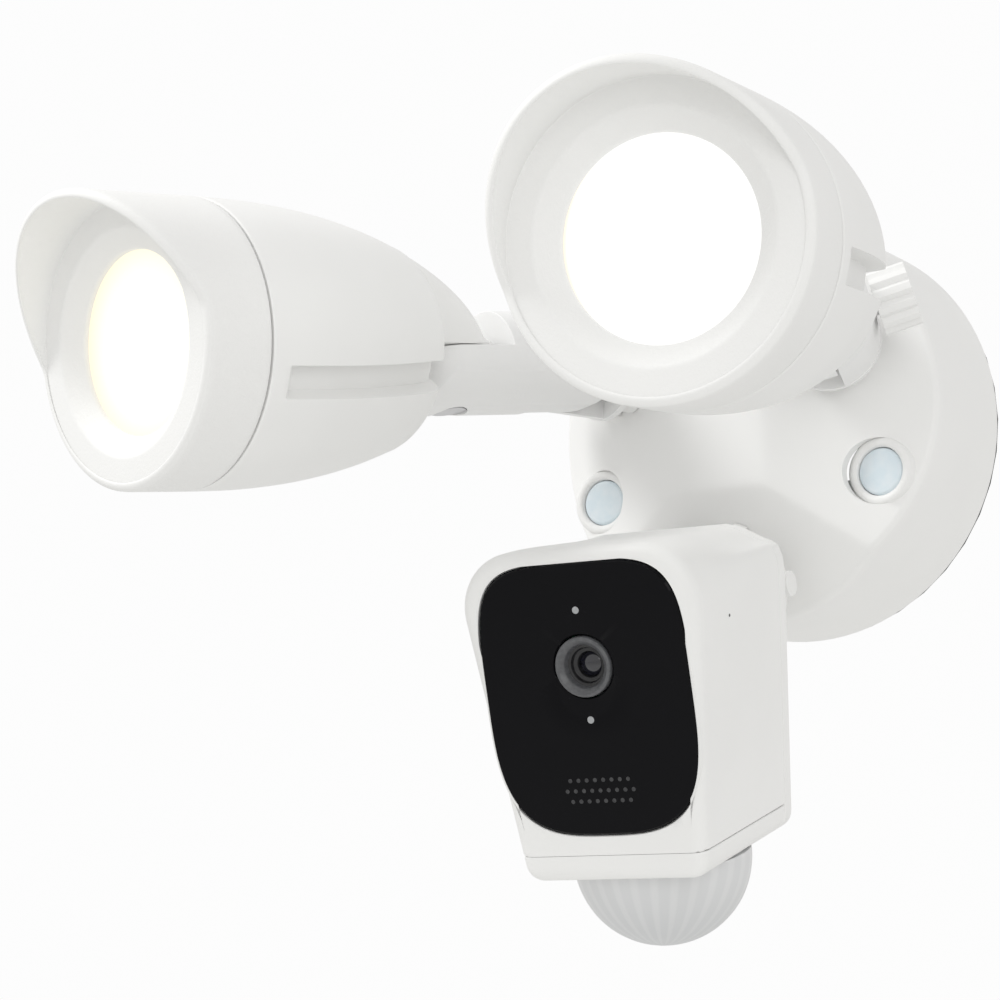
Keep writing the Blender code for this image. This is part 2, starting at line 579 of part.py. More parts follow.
def hexagon(radius, low, high):
    """A hexagonal prism along local X, on its negative side."""
    made = prism(arc((0, 0), radius, 0, 300, 5), low, high)
    made.transform(turn("Y", -90))
    return made


def make_camera(root):
    frame, facet = camera_heading(), camera_facet()
    make_lock_ring("camera_lock_ring", root, frame, facet, 0.0040)
    swivel = empty("camera_swivel", root, frame)
    make_nut("camera_stem_nut", swivel, facet)
    level = turn("X", -math.degrees(LOWER_TILT)) @ turn("Z", math.degrees(UNIT_YAW))
    make_knuckle(swivel, level, facet)
    tilt = empty("camera_tilt", swivel, level @ turn("X", math.degrees(UNIT_PITCH)))
    place = Matrix.Translation(-UNIT_AXIS)
    make_unit_front(tilt, place)
    make_unit_inside(tilt, place)
    make_unit_back(tilt, place)


def main():
    clear_scene()
    root = empty("floodlight_camera")
    make_base(root)
    for side_name in ("left", "right"):
        make_side(side_name, root)
    make_camera(root)


main()
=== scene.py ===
import json

import bmesh
import bpy
import numpy as np
from mathutils import Matrix, Vector


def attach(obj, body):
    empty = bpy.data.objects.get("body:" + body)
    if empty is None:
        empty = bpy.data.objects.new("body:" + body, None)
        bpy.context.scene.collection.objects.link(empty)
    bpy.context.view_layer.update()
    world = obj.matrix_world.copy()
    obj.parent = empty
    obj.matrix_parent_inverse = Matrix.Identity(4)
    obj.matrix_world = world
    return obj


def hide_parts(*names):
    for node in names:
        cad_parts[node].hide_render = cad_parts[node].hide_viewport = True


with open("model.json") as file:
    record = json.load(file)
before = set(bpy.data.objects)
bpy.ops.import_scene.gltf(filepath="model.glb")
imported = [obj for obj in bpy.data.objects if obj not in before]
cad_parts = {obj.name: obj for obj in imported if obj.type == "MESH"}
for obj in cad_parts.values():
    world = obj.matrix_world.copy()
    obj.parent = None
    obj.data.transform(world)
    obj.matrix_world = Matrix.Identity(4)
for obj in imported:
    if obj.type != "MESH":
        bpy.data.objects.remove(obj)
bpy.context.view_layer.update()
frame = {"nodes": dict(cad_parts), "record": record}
joints = {joint["name"]: joint for joint in frame["record"]["behaviour"]["joints"]}
print("frame loaded:", len(frame["nodes"]), "nodes")


def unit(v):
    return v / np.linalg.norm(v)


def jointAxis(name):
    return unit(np.array(joints[name]["axis"], float))


def jointPlace(name):
    return np.array(joints[name]["pos_m"], float)


# a frame of its own: points are origin + x * X + y * Y + z * Z
class Place:
    def __init__(self, origin, x, y, z):
        self.origin, self.axes = np.array(origin, float), np.array([x, y, z], float)

    def at(self, points):
        return self.origin + points @ self.axes

    def shifted(self, x, y, z):
        return Place(self.at(np.array([x, y, z])), *self.axes)


world = Place((0, 0, 0), (1, 0, 0), (0, 1, 0), (0, 0, 1))

lampAim = {"length": 0.100, "rise": 0.0034, "leftPan": 5.8, "rightPan": -14.3}
unitAim = {"pitch": 16.5, "toKnuckle": (0.0023, 0.0740, 0.0073)}


def lampPlace(side):
    # the lens centre: ahead of the pan pivot along the lamp's axis, the elbow axis turned by the pan angle
    up, across = jointAxis(f"{side}_pan"), jointAxis(f"{side}_elbow")
    turn = np.radians(lampAim[f"{side}Pan"])
    x = np.cos(turn) * across + np.sin(turn) * np.cross(up, across)
    y = np.cross(up, x)
    origin = jointPlace(f"{side}_pan") + lampAim["rise"] * up - lampAim["length"] * y
    return Place(origin, x, y, up)


def unitPlace():
    # the camera lens centre, with the tilt axis as X and Y pointing back into the unit
    x = jointAxis("camera_tilt")
    level = np.cross((0, 0, 1), x)
    pitch = np.radians(unitAim["pitch"])
    y = np.cos(pitch) * level + np.sin(pitch) * np.array([0, 0, 1])
    place = Place(jointPlace("camera_tilt"), x, y, np.cross(x, y))
    return place.shifted(*[-v for v in unitAim["toKnuckle"]])


def meshPiece(name, grids, finish, sharp=40, wrap=True):
    # each grid is rows x columns x 3: columns close into a ring, and a row may shrink to a pole
    points, faces, start = [], [], 0
    for grid in grids:
        rows, columns = grid.shape[:2]
        index = np.arange(rows * columns).reshape(rows, columns) + start
        right = np.roll(index, -1, axis=1) if wrap else index[:, 1:]
        left = index if wrap else index[:, :-1]
        quads = np.stack([left[:-1], right[:-1], right[1:], left[1:]], axis=-1)
        points.append(grid.reshape(-1, 3))
        faces.append(quads.reshape(-1, 4))
        start += rows * columns
    points, faces = np.concatenate(points), np.concatenate(faces)
    mesh = bpy.data.meshes.new(name)
    mesh.vertices.add(len(points))
    mesh.vertices.foreach_set("co", points.astype(np.float32).ravel())
    mesh.loops.add(faces.size)
    mesh.loops.foreach_set("vertex_index", faces.astype(np.int32).ravel())
    mesh.polygons.add(len(faces))
    mesh.polygons.foreach_set("loop_start", np.arange(0, faces.size, 4, dtype=np.int32))
    mesh.update(calc_edges=True)
    tidy = bmesh.new()
    tidy.from_mesh(mesh)
    bmesh.ops.remove_doubles(tidy, verts=tidy.verts, dist=2e-6)
    bmesh.ops.dissolve_degenerate(tidy, edges=tidy.edges, dist=1e-7)
    bmesh.ops.recalc_face_normals(tidy, faces=tidy.faces)
    tidy.to_mesh(mesh)
    tidy.free()
    mesh.shade_smooth()
    mesh.set_sharp_from_angle(angle=np.radians(sharp))
    mesh.materials.append(finishes[finish])
    piece = bpy.data.objects.new(name, mesh)
    bpy.context.scene.collection.objects.link(piece)
    return piece


def softened(corners, radius, steps=5):
    # a profile whose inner corners become short quadratic curves: (1-t)^2 A + 2t(1-t) B + t^2 C
    corners = np.array(corners, float)
    t = np.linspace(0, 1, steps)[:, None]
    parts = [corners[:1]]
    for before, here, after in zip(corners, corners[1:], corners[2:]):
        reach = min(radius, np.linalg.norm(before - here) * 0.45, np.linalg.norm(after - here) * 0.45)
        a, c = here + unit(before - here) * reach, here + unit(after - here) * reach
        parts.append((1 - t) ** 2 * a + 2 * t * (1 - t) * here + t**2 * c)
    parts.append(corners[-1:])
    return np.concatenate(parts)


def around(radius, angle, along):
    # points on circles about Y: (r cos a, y, r sin a)
    x = radius * np.cos(angle)
    return np.stack([x, along + 0 * x, radius * np.sin(angle)], axis=-1)


def turned(place, profile, columns=96):
    # a profile of (radius, y) carried round the place's Y axis
    profile = np.asarray(profile, float)
    angle = np.arange(columns) * 2 * np.pi / columns
    return place.at(around(profile[:, :1], angle, profile[:, 1:]))


def roundLoop(corners, radii, steps=14):
    # a convex outline, counterclockwise, each corner an arc of its own radius
    corners = np.array(corners, float)
    quarter = np.array([[0, -1], [1, 0]])
    loop = []
    for i, here in enumerate(corners):
        before, after = unit(corners[i - 1] - here), unit(corners[(i + 1) % len(corners)] - here)
        half = np.arccos(np.clip(before @ after, -1, 1)) / 2
        middle = here + unit(before + after) * radii[i] / np.sin(half)
        start, end = quarter @ before, -(quarter @ after)
        first, last = np.arctan2(start[1], start[0]), np.arctan2(end[1], end[0])
        sweep = (last - first + np.pi) % (2 * np.pi) - np.pi
        angle = first + sweep * np.linspace(0, 1, steps)
        loop.append(middle + radii[i] * np.stack([np.cos(angle), np.sin(angle)], axis=-1))
    return np.concatenate(loop)


def stacked(place, rows):
    # rows of (outline of (x, z), y), carried through the place's frame
    loops = np.stack([loop for loop, _ in rows])
    along = np.array([y for _, y in rows])[:, None] + 0 * loops[..., 0]
    return place.at(crowned(np.stack([loops[..., 0], along, loops[..., 1]], axis=-1)))


def cut(piece, cutters):
    # exact Booleans, applied, so that the piece keeps a plain mesh
    for i, cutter in enumerate(cutters):
        step = piece.modifiers.new(f"cut{i}", "BOOLEAN")
        step.object = cutter
    graph = bpy.context.evaluated_depsgraph_get()
    mesh = bpy.data.meshes.new_from_object(piece.evaluated_get(graph))
    piece.modifiers.clear()
    piece.data = mesh
    mesh.shade_smooth()
    mesh.set_sharp_from_angle(angle=np.radians(30))
    for cutter in cutters:
        bpy.data.objects.remove(cutter, do_unlink=True)


def softCopy(node, body, slot, finish, width=0.0006, angle=32, segments=3, reshape=None):
    # the designed solid with its doubles merged, flats made whole and edges rounded
    source = frame["nodes"][node]
    shape = bmesh.new()
    shape.from_mesh(source.data)
    shape.transform(source.matrix_world)
    bmesh.ops.remove_doubles(shape, verts=shape.verts, dist=2e-6)
    bmesh.ops.dissolve_limit(shape, angle_limit=np.radians(1.0), verts=shape.verts, edges=shape.edges)
    mesh = bpy.data.meshes.new(f"{node}Soft")
    shape.to_mesh(mesh)
    shape.free()
    if reshape:
        for vertex in mesh.vertices:
            vertex.co = reshape(np.array(vertex.co))
    mesh.materials.append(finishes[finish])
    mesh.shade_smooth()
    mesh.set_sharp_from_angle(angle=np.radians(angle))
    piece = bpy.data.objects.new(f"{node}Soft", mesh)
    bpy.context.scene.collection.objects.link(piece)
    step = piece.modifiers.new("roundedEdges", "BEVEL")
    step.width, step.segments = width, segments
    step.limit_method, step.angle_limit = "ANGLE", np.radians(angle)
    step.harden_normals = True
    declare(piece, body, slot, node)
    return piece


def declare(piece, body, slot, *nodes):
    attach(piece, body)
    if nodes:
        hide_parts(*nodes)


# a socket that takes part in sums: numbers and sockets mix freely
class Sock:
    def __init__(self, tree, socket):
        self.tree, self.socket = tree, socket

    def maths(self, operation, *others):
        values = {i: other for i, other in enumerate((self,) + others)}
        return node(self.tree, "ShaderNodeMath", {"operation": operation}, values)

    def __add__(self, other):
        return self.maths("ADD", other)

    def __mul__(self, other):
        return self.maths("MULTIPLY", other)

    __radd__, __rmul__ = __add__, __mul__

    def ramp(self, low, high):
        # 0 below low, 1 above high, smooth between
        settings = {"interpolation_type": "SMOOTHSTEP"}
        values = {"Value": self, "From Min": low, "From Max": high}
        return node(self.tree, "ShaderNodeMapRange", settings, values)


def node(tree, kind, settings=None, values=None, output=0):
    made = tree.nodes.new(kind)
    for key, value in (settings or {}).items():
        setattr(made, key, value)
    for key, value in (values or {}).items():
        if isinstance(value, Sock):
            tree.links.new(value.socket, made.inputs[key])
        else:
            made.inputs[key].default_value = value
    return Sock(tree, made.outputs[output])


def mixColour(tree, factor, first, second):
    made = tree.nodes.new("ShaderNodeMix")
    made.data_type = "RGBA"
    colours = [socket for socket in made.inputs if socket.type == "RGBA"]
    for socket, value in zip(colours, (first, second)):
        if isinstance(value, Sock):
            tree.links.new(value.socket, socket)
        else:
            socket.default_value = value
    if isinstance(factor, Sock):
        tree.links.new(factor.socket, made.inputs[0])
    else:
        made.inputs[0].default_value = factor
    return Sock(tree, [socket for socket in made.outputs if socket.type == "RGBA"][0])


def finishNamed(name, colour, roughness, **constants):
    made = bpy.data.materials.new(name)
    made.use_nodes = True
    shader = made.node_tree.nodes["Principled BSDF"]
    shader.inputs["Base Color"].default_value = colour
    shader.inputs["Roughness"].default_value = roughness
    for key, value in constants.items():
        shader.inputs[key.replace("_", " ")].default_value = value
    return made, made.node_tree, shader


def objectPoint(tree):
    return node(tree, "ShaderNodeTexCoord", output=3)


def noise(tree, scale, detail=3.0, roughness=0.5):
    values = {"Vector": objectPoint(tree), "Scale": scale, "Detail": detail, "Roughness": roughness}
    return node(tree, "ShaderNodeTexNoise", None, values)


def link(tree, source, shader, name):
    tree.links.new(source.socket, shader.inputs[name])


def bumpy(tree, shader, height, strength, distance):
    values = {"Height": height, "Strength": strength, "Distance": distance}
    link(tree, node(tree, "ShaderNodeBump", None, values), shader, "Normal")


def mouldedWhite(name, look):
    # moulded plastic: a fine spark-eroded grain, broad unevenness in gloss, a trace of shade in the colour
    made, tree, shader = finishNamed(name, look["colour"], look["roughness"])
    shader.inputs["Specular IOR Level"].default_value = 0.45
    broad = noise(tree, 22, 2).ramp(0.3, 0.7)
    grain = noise(tree, look["grainScale"], 2, 0.6)
    link(tree, mixColour(tree, broad, look["colour"], look["shade"]), shader, "Base Color")
    link(tree, broad * look["glossSpread"] + grain * 0.06 + (look["roughness"] - 0.03), shader, "Roughness")
    bumpy(tree, shader, grain, look["grainStrength"], look["grainDepth"])
    return made


whiteLooks = {
    "smoothWhite": {
        "colour": (0.87, 0.87, 0.86, 1), "shade": (0.85, 0.85, 0.84, 1), "roughness": 0.42,
        "glossSpread": 0.05, "grainScale": 2600, "grainStrength": 0.25, "grainDepth": 0.00005,
    },
    "grainedWhite": {
        "colour": (0.86, 0.86, 0.85, 1), "shade": (0.84, 0.84, 0.83, 1), "roughness": 0.52,
        "glossSpread": 0.05, "grainScale": 1500, "grainStrength": 0.6, "grainDepth": 0.00012,
    },
    "coatedWhite": {
        "colour": (0.86, 0.86, 0.855, 1), "shade": (0.84, 0.84, 0.835, 1), "roughness": 0.46,
        "glossSpread": 0.06, "grainScale": 1100, "grainStrength": 0.35, "grainDepth": 0.00010,
    },
}


def metalFinish(name, colour, roughness, scale):
    made, tree, shader = finishNamed(name, colour, roughness, Metallic=1.0)
    streak = noise(tree, scale, 4, 0.6)
    link(tree, streak * 0.18 + (roughness - 0.09), shader, "Roughness")
    bumpy(tree, shader, streak, 0.2, 0.00005)
    return made


def blackGloss():
    made, tree, shader = finishNamed("blackGloss", (0.0035, 0.0035, 0.0045, 1), 0.05)
    shader.inputs["Specular IOR Level"].default_value = 0.1
    link(tree, noise(tree, 60, 3).ramp(0.35, 0.8) * 0.05 + 0.04, shader, "Roughness")
    return made


def plainFinish(name, colour, shade, roughness, scale, depth=0.00006):
    made, tree, shader = finishNamed(name, colour, roughness)
    grain = noise(tree, scale, 3)
    link(tree, mixColour(tree, grain.ramp(0.35, 0.65), colour, shade), shader, "Base Color")
    link(tree, grain * 0.12 + (roughness - 0.06), shader, "Roughness")
    bumpy(tree, shader, grain, 0.4, depth)
    return made


def litLens(side):
    # the diffuser glows white, warming with distance from a point near its middle
    made, tree, shader = finishNamed(f"{side}LitLens", (0.12, 0.12, 0.11, 1), 0.4)
    place = lampPlace(side)
    centre = place.at(np.array([lensLook["hotShift"], 0.0, lensLook["hotDrop"]]))
    values = {0: objectPoint(tree), 1: [float(v) for v in centre]}
    away = node(tree, "ShaderNodeVectorMath", {"operation": "DISTANCE"}, values, 1)
    rim = away.ramp(*lensLook[f"{side}Rim"])
    glow = mixColour(tree, rim, lensLook[f"{side}Hot"], lensLook["warm"])
    link(tree, glow, shader, "Emission Color")
    shader.inputs["Emission Strength"].default_value = lensLook["strength"]
    return made


def frostedDome():
    # milky moulding with faint upright facets; painted shade and light: the facets coloured as lighter and
    # darker stripes, and the dome darker towards its lowest point, brighter towards its foot
    made, tree, shader = finishNamed("frostedDome", (0.72, 0.74, 0.75, 1), 0.34)
    shader.inputs["Transmission Weight"].default_value = 0.15
    shader.inputs["IOR"].default_value = 1.3
    values = {0: objectPoint(tree), 1: [float(v) for v in domeCentre()]}
    shift = node(tree, "ShaderNodeVectorMath", {"operation": "SUBTRACT"}, values)
    split = node(tree, "ShaderNodeSeparateXYZ", None, {0: shift})
    x, y, z = (Sock(tree, output) for output in split.socket.node.outputs)
    angle = y.maths("ARCTAN2", x)
    stripe = (angle * domeLook["facets"]).maths("SINE").ramp(-0.2, 0.9)
    paintedHeightShade = z.ramp(-domeLook["radius"], -0.2 * domeLook["radius"])
    # painted shade: the facet stripes and the darkening towards the dome's lowest point are mixed into the
    # colour
    shade = stripe * 0.3 + paintedHeightShade * 0.7
    link(tree, mixColour(tree, shade, (0.70, 0.71, 0.72, 1), (0.84, 0.845, 0.85, 1)), shader, "Base Color")
    bumpy(tree, shader, stripe, 0.2, 0.0001)
    return made


lensLook = {
    "leftRim": (0.0160, 0.0285), "rightRim": (0.0252, 0.0272), "hotShift": 0.003,
    "hotDrop": -0.001, "leftHot": (1.0, 0.995, 0.93, 1), "rightHot": (1.0, 1.0, 0.99, 1),
    "warm": (1.0, 0.90, 0.66, 1), "strength": 0.97,
}
domeLook = {
    "radius": 0.0235, "behind": 0.029, "foot": -0.0558, "facets": 26, "wall": 0.94,
    "neck": 0.004, "neckInner": 0.0188, "neckOuter": 0.0198,
}


def domeCentre():
    return unitPlace().at(np.array([0.0, domeLook["behind"], domeLook["foot"]]))


# each: name, colour, shade, roughness, grain scale and, where it is not the usual one, grain depth
plainLooks = {
    "innerBlack": ("innerBlack", (0.012, 0.012, 0.013, 1), (0.02, 0.02, 0.021, 1), 0.38, 900),
    "ringGrey": ("ringGrey", (0.085, 0.087, 0.092, 1), (0.11, 0.112, 0.118, 1), 0.3, 900),
    "speakerGrey": ("speakerGrey", (0.035, 0.035, 0.038, 1), (0.05, 0.05, 0.053, 1), 0.45, 900),
    "rubber": ("sealRubber", (0.05, 0.05, 0.05, 1), (0.07, 0.07, 0.07, 1), 0.75, 700, 0.0001),
    "plugBlue": ("plugBlue", (0.67, 0.76, 0.81, 1), (0.72, 0.79, 0.83, 1), 0.3, 240),
    "board": ("solderMask", (0.02, 0.16, 0.07, 1), (0.03, 0.22, 0.1, 1), 0.4, 400),
    "sensorGrey": ("sensorGrey", (0.35, 0.36, 0.37, 1), (0.45, 0.46, 0.47, 1), 0.3, 500),
}
finishes = {name: mouldedWhite(name, look) for name, look in whiteLooks.items()}
finishes["steel"] = metalFinish("zincSteel", (0.62, 0.62, 0.63, 1), 0.34, 300)
finishes["aluminium"] = metalFinish("boardAluminium", (0.78, 0.78, 0.79, 1), 0.38, 500)
finishes["blackGloss"] = blackGloss()
finishes.update({name: plainFinish(*look) for name, look in plainLooks.items()})
finishes["leftLens"], finishes["rightLens"] = litLens("left"), litLens("right")
finishes["dome"] = frostedDome()
finishes["opticGlass"] = finishNamed("opticGlass", (0.004, 0.004, 0.010, 1), 0.02, Coat_Weight=1.0)[0]
print("materials made:", len(finishes))


canopyLook = {
    "radius": 0.060, "front": 0.0589, "halfWidth": 0.0147, "halfHeight": 0.0231,
    "sideTilt": 21.3, "lowerTilt": 29.5, "wall": 0.0030, "back": -0.0018, "rim": 0.0016, "soft": 0.00045,
    "screwX": 0.0443, "screwZ": -0.0208, "neck": 0.0098, "neckDepth": 0.045,
    "wellMouth": 0.0093, "wellFloor": 0.0068, "wellBack": -0.0380, "wellStep": -0.0440, "wellFront": -0.062,
    "plugLip": -0.0470, "plugSunk": 0.0007, "plugRadius": 0.0066, "plugBack": -0.0400,
}


def canopyDepth(x, z, inset):
    # how far the front stands out: the smooth least of the flat, the side planes and the sloped ones
    look = canopyLook
    side = look["front"] - np.tan(np.radians(look["sideTilt"])) * (abs(x) - look["halfWidth"])
    slope = look["front"] - np.tan(np.radians(look["lowerTilt"])) * (abs(z) - look["halfHeight"])
    flat = np.full_like(x, look["front"])
    depths = np.stack([flat, side, slope])
    least = depths.min(axis=0)
    return least - look["soft"] * np.log(np.exp((least - depths) / look["soft"]).sum(axis=0)) - inset


def crowded(count, ease=0.8):
    # 0 to 1, with steps that shorten towards both ends: t - ease * sin(2 pi t) / (2 pi)
    t = np.linspace(0, 1, count)
    return t - ease * np.sin(2 * np.pi * t) / (2 * np.pi)


def canopyRays():
    # columns run from the flat's border to the rim, so that the creases between planes lie along grid lines
    look = canopyLook
    w, h, radius = look["halfWidth"], look["halfHeight"], look["radius"]
    side, slope = np.tan(np.radians(look["sideTilt"])), np.tan(np.radians(look["lowerTilt"]))
    run = np.array([slope, side])
    start = np.array([w, h])
    b, c = start @ run, start @ start - radius**2
    reach = (-b + np.sqrt(b**2 - run @ run * c)) / (run @ run)
    corner = np.arctan2(*(start + reach * run)[::-1])
    stops = [-corner, corner, np.pi - corner, np.pi + corner, 2 * np.pi - corner]
    borders = [((w, -h), (w, h)), ((w, h), (-w, h)), ((-w, h), (-w, -h)), ((-w, -h), (w, -h))]
    t = crowded(40)[:-1]
    inner = np.concatenate([np.array(a) + (np.array(b) - np.array(a)) * t[:, None] for a, b in borders])
    angle = np.concatenate([a + (b - a) * t for a, b in zip(stops, stops[1:])])
    return inner, np.stack([np.cos(angle), np.sin(angle)], axis=-1)


def canopySkin(inset, rim):
    # rows: the flat's middle to its border, out to the rim, round the rim's edge, then back to the wall
    inner, ray = canopyRays()
    radius = canopyLook["radius"] - inset
    edge = ray * (radius - rim)

    def row(flat, sink=0.0):
        depth = canopyDepth(flat[:, 0], flat[:, 1], inset) - sink
        return np.stack([flat[:, 0], -depth, flat[:, 1]], axis=-1)

    rows = [row(inner * t) for t in crowded(14)]
    rows += [row(inner + (edge - inner) * t) for t in crowded(26)[1:]]
    for turn in np.linspace(0, np.pi / 2, 8)[1:]:
        rows.append(row(ray * (radius - rim + rim * np.sin(turn)), rim * (1 - np.cos(turn))))
    last = rows[-1]
    drop = np.array([0, 1, 0]) * (canopyLook["back"] - last[:, 1:2])
    rows += [last + drop * t for t in np.linspace(0, 1, 8)[1:]]
    return np.stack(rows)


def lockRingPlaces():
    for name in ("left_swivel", "right_swivel", "camera_swivel"):
        out = jointAxis(name)
        across = unit(np.cross(out, (0, 0, 1)))
        yield Place(jointPlace(name), across, -out, np.cross(across, -out))


def makeCanopy():
    look = canopyLook
    outer, inner = canopySkin(0, look["rim"]), canopySkin(look["wall"], 0.0004)
    piece = meshPiece("canopyShell", [np.concatenate([outer, inner[::-1]])], "smoothWhite", 25)
    floor, mouth, neck = look["wellFloor"], look["wellMouth"], look["neck"]
    well = [(0, look["wellBack"]), (floor, look["wellBack"]), (floor, look["wellStep"])]
    well += [(mouth, look["wellStep"]), (mouth, look["wellFront"]), (0, look["wellFront"])]
    neckHole = [(0, 0.0), (neck, 0.0), (neck, look["neckDepth"]), (0, look["neckDepth"])]
    cutters = []
    for sign in (-1, 1):
        at = world.shifted(sign * look["screwX"], 0, look["screwZ"])
        cutters.append(meshPiece(f"well{sign}", [turned(at, well, 96)], "smoothWhite"))
    for place in lockRingPlaces():
        cutters.append(meshPiece("neckHole", [turned(place, neckHole, 64)], "smoothWhite"))
    cut(piece, cutters)
    declare(piece, "base", "housing_white", "canopy")
    for side, sign in (("left", -1), ("right", 1)):
        makePlug(side, world.shifted(sign * look["screwX"], 0, look["screwZ"]))


def makePlug(side, at):
    # a collar with a pale flat lip closes the well, and the plug sits in it
    look = canopyLook
    floor, lip = look["wellFloor"], look["plugLip"]
    outer, back, seat = look["wellMouth"] + 0.0001, look["wellBack"] + 0.0008, look["wellBack"] - 0.0002
    collar = [(0, back), (outer, back), (outer, lip + 0.0006), (outer - 0.0006, lip), (floor + 0.0005, lip)]
    collar += [(floor, lip + 0.0005), (floor, seat), (0, seat)]
    piece = meshPiece(f"{side}PlugCollar", [turned(at, collar, 72)], "grainedWhite", 50)
    declare(piece, "base", "housing_white")
    edge, back, top = look["plugRadius"], look["plugBack"], lip + look["plugSunk"]
    plug = [(0, back), (edge, back), (edge, top + 0.0005), (edge - 0.0006, top), (0.0, top)]
    piece = meshPiece(f"{side}ScrewPlugDisc", [turned(at, softened(plug, 0.0005), 72)], "plugBlue", 45)
    declare(piece, "base", "plug_blue", f"{side}_screw_plug")


makeCanopy()
print("canopy made")


lampLook = {
    "outer": 0.0376, "seam": 0.0142, "gap": 0.0005, "rear": 0.0808, "taperFrom": 0.0163, "taper": 0.0985,
    "power": 2.2, "blunt": 0.7, "channelClock": 28, "channelHalf": 0.0041, "channelDepth": 0.0050,
    "channelFrom": 0.0205, "tongueHalf": 0.0144, "tongueFloor": -0.0011, "rearRound": 0.0060,
}
bezelLook = {
    "lens": 0.0235, "faceOuter": 0.0352, "face": -0.0046, "lipSlope": 0.462, "lipFrom": 0.0010,
    "coneOuter": 0.0288,
}


def smooth(low, high, value):
    t = np.clip((value - low) / (high - low), 0, 1)
    return t * t * (3 - 2 * t)


def bulletRadius(along):
    # outer radius of the lamp behind the seam: R (1 - t^p)^q, t the share of the taper's length
    look = lampLook
    t = np.clip((along - look["taperFrom"]) / look["taper"], 0, 1)
    return look["outer"] * (1 - t ** look["power"]) ** look["blunt"]


def housingGrid(place):
    look = lampLook
    clock = np.radians(look["channelClock"])
    flank = np.concatenate([np.linspace(0.7, 1.3, 11), np.linspace(1.4, 3, 4)])
    near = np.concatenate([-flank[::-1], np.linspace(-0.6, 0.6, 6), flank])
    gapLow, gapHigh = np.linspace(0, 1, 26)[1:-1], np.linspace(0, 1, 50)[1:-1]
    # angle = base + spread * h, with h the channel's half angle at each row: its edges follow grid lines
    base = [np.full_like(near, -clock), -clock + (np.pi + 2 * clock) * gapHigh]
    spread = [near, 3 - 6 * gapHigh]
    base += [np.full_like(near, np.pi + clock), np.pi + clock + (np.pi - 2 * clock) * gapLow]
    spread += [near, 3 - 6 * gapLow]
    base, spread = np.concatenate(base), np.concatenate(spread)
    outside = 9.0
    inChannel = [abs(near), np.full(len(gapHigh), outside), abs(near), np.full(len(gapLow), outside)]
    inChannel = np.concatenate(inChannel)
    start = look["seam"] + look["gap"]
    channel = look["channelFrom"]
    along = np.concatenate([
        np.linspace(start, start + 0.0009, 4),
        np.linspace(start + 0.0016, channel - 0.0006, 4),
        np.linspace(channel, channel + 0.0016, 8),
        np.linspace(channel + 0.0030, look["rear"] - look["rearRound"], 44),
    ])
    radius = bulletRadius(along)
    radius -= 0.0003 * (1 - smooth(0, 0.0006, along - start)) ** 2
    half = look["channelHalf"] / radius
    angle = base + spread * half[:, None]
    inside = (1 - smooth(0.90, 1.06, inChannel)) * smooth(-0.0002, 0.0012, along - channel)[:, None]
    radii = radius[:, None] - look["channelDepth"] * inside
    rows = [around(radii, angle, along[:, None])]
    last = rows[0][-1]
    flat = last * np.array([1, 0, 1])
    size = np.linalg.norm(flat, axis=-1, keepdims=True)
    back, depth = look["rearRound"], look["rear"] - along[-1]
    for turn in np.linspace(0, np.pi / 2, 9)[1:]:
        ring = flat * (size - back * (1 - np.cos(turn)) - 0.0010 * np.sin(turn)) / size
        rows.append((ring + np.array([0, along[-1] + depth * np.sin(turn), 0]))[None])
    ring = rows[-1][0]
    for t in (0.8, 0.5, 0.2, 0.0):
        rows.append((ring * np.array([t, 1, t]))[None])
    # the cavity behind the bezel
    cavity = [(0.0, 0.034), (0.016, 0.034), (0.0285, 0.026), (0.0300, start + 0.0004), (0.0302, start)]
    inner = [around(r, angle[0], y) for r, y in cavity]
    return place.at(np.concatenate([np.stack(inner)] + rows))


def tongueGrid(place):
    # a slot-shaped outline round the pan pivot; its top follows the bullet, its floor is flat
    look = lampLook
    half, pivot, root = look["tongueHalf"], lampAim["length"], 0.0700
    end = np.linspace(0, np.pi, 40)
    outline = np.concatenate([
        np.stack([np.full(16, half), np.linspace(root, pivot, 17)[:-1]], axis=-1),
        np.stack([half * np.cos(end), pivot + half * np.sin(end)], axis=-1),
        np.stack([np.full(16, -half), np.linspace(pivot, root, 17)[1:]], axis=-1),
        np.stack([np.linspace(-half, half, 24)[1:-1], np.full(22, root)], axis=-1),
    ])
    middle = np.array([0.0, 0.5 * (root + pivot)])

    def top(flat):
        return np.sqrt(np.maximum(bulletRadius(flat[:, 1]) ** 2 - flat[:, 0] ** 2, 0.0014**2))

    def row(share, height):
        flat = middle + (outline - middle) * share
        return np.stack([flat[:, 0], flat[:, 1], height(flat)], axis=-1)

    floor = look["tongueFloor"]
    rows = [row(share, lambda flat: np.full(len(flat), floor)) for share in (0, 0.5, 0.98)]
    rows.append(row(1.0, lambda flat: np.full(len(flat), floor + 0.0005)))
    rows.append(row(1.0, lambda flat: np.maximum(top(flat) - 0.0022, floor + 0.0008)))
    for turn in np.linspace(0, np.pi / 2, 6)[1:]:
        share, drop = 1 - 0.10 * (1 - np.cos(turn)), 0.0022 * (1 - np.sin(turn))
        rows.append(row(share, lambda flat: np.maximum(top(flat) - drop, floor + 0.0009)))
    for share in (0.8, 0.65, 0.45, 0.2, 0.0):
        rows.append(row(share, lambda flat: np.maximum(top(flat), floor + 0.0009)))
    return place.at(np.stack(rows))


